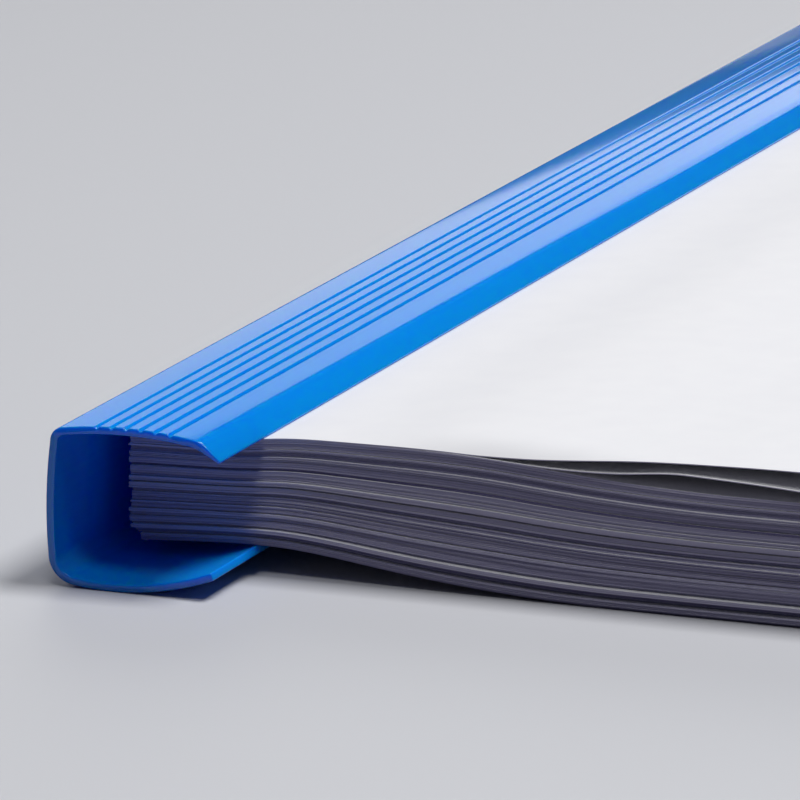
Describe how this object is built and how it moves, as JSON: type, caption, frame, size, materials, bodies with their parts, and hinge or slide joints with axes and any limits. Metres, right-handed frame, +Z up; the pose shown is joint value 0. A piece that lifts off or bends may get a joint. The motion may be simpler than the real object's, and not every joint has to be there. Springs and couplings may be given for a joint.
{
  "type": "slide-on report binder",
  "caption": "Channel-shaped slide-on binding bar gripping a thick stack of A4 sheets along one long edge, with loose sheets bowed up on top.",
  "frame": {"origin": "middle of the footprint, on the table under the stack", "axes": "+Y along the bar and the sheets' long edge, +X from the bar to the sheets' free edge, +Z up"},
  "size_m": [0.2138, 0.31, 0.0166],
  "materials": {
    "bar_plastic": "glossy extruded plastic, saturated blue",
    "paper": "plain white office paper"
  },
  "bodies": {
    "sheets": {"paper_block": "paper", "second_sheet": "paper", "top_sheet": "paper"},
    "bar": {"slide_bar": "bar_plastic"}
  },
  "joints": [
    {"name": "bar_slide", "type": "slide", "parent": "sheets", "child": "bar", "axis": [0, 1, 0], "range_m": [-0.288, 0.298]}
  ]
}
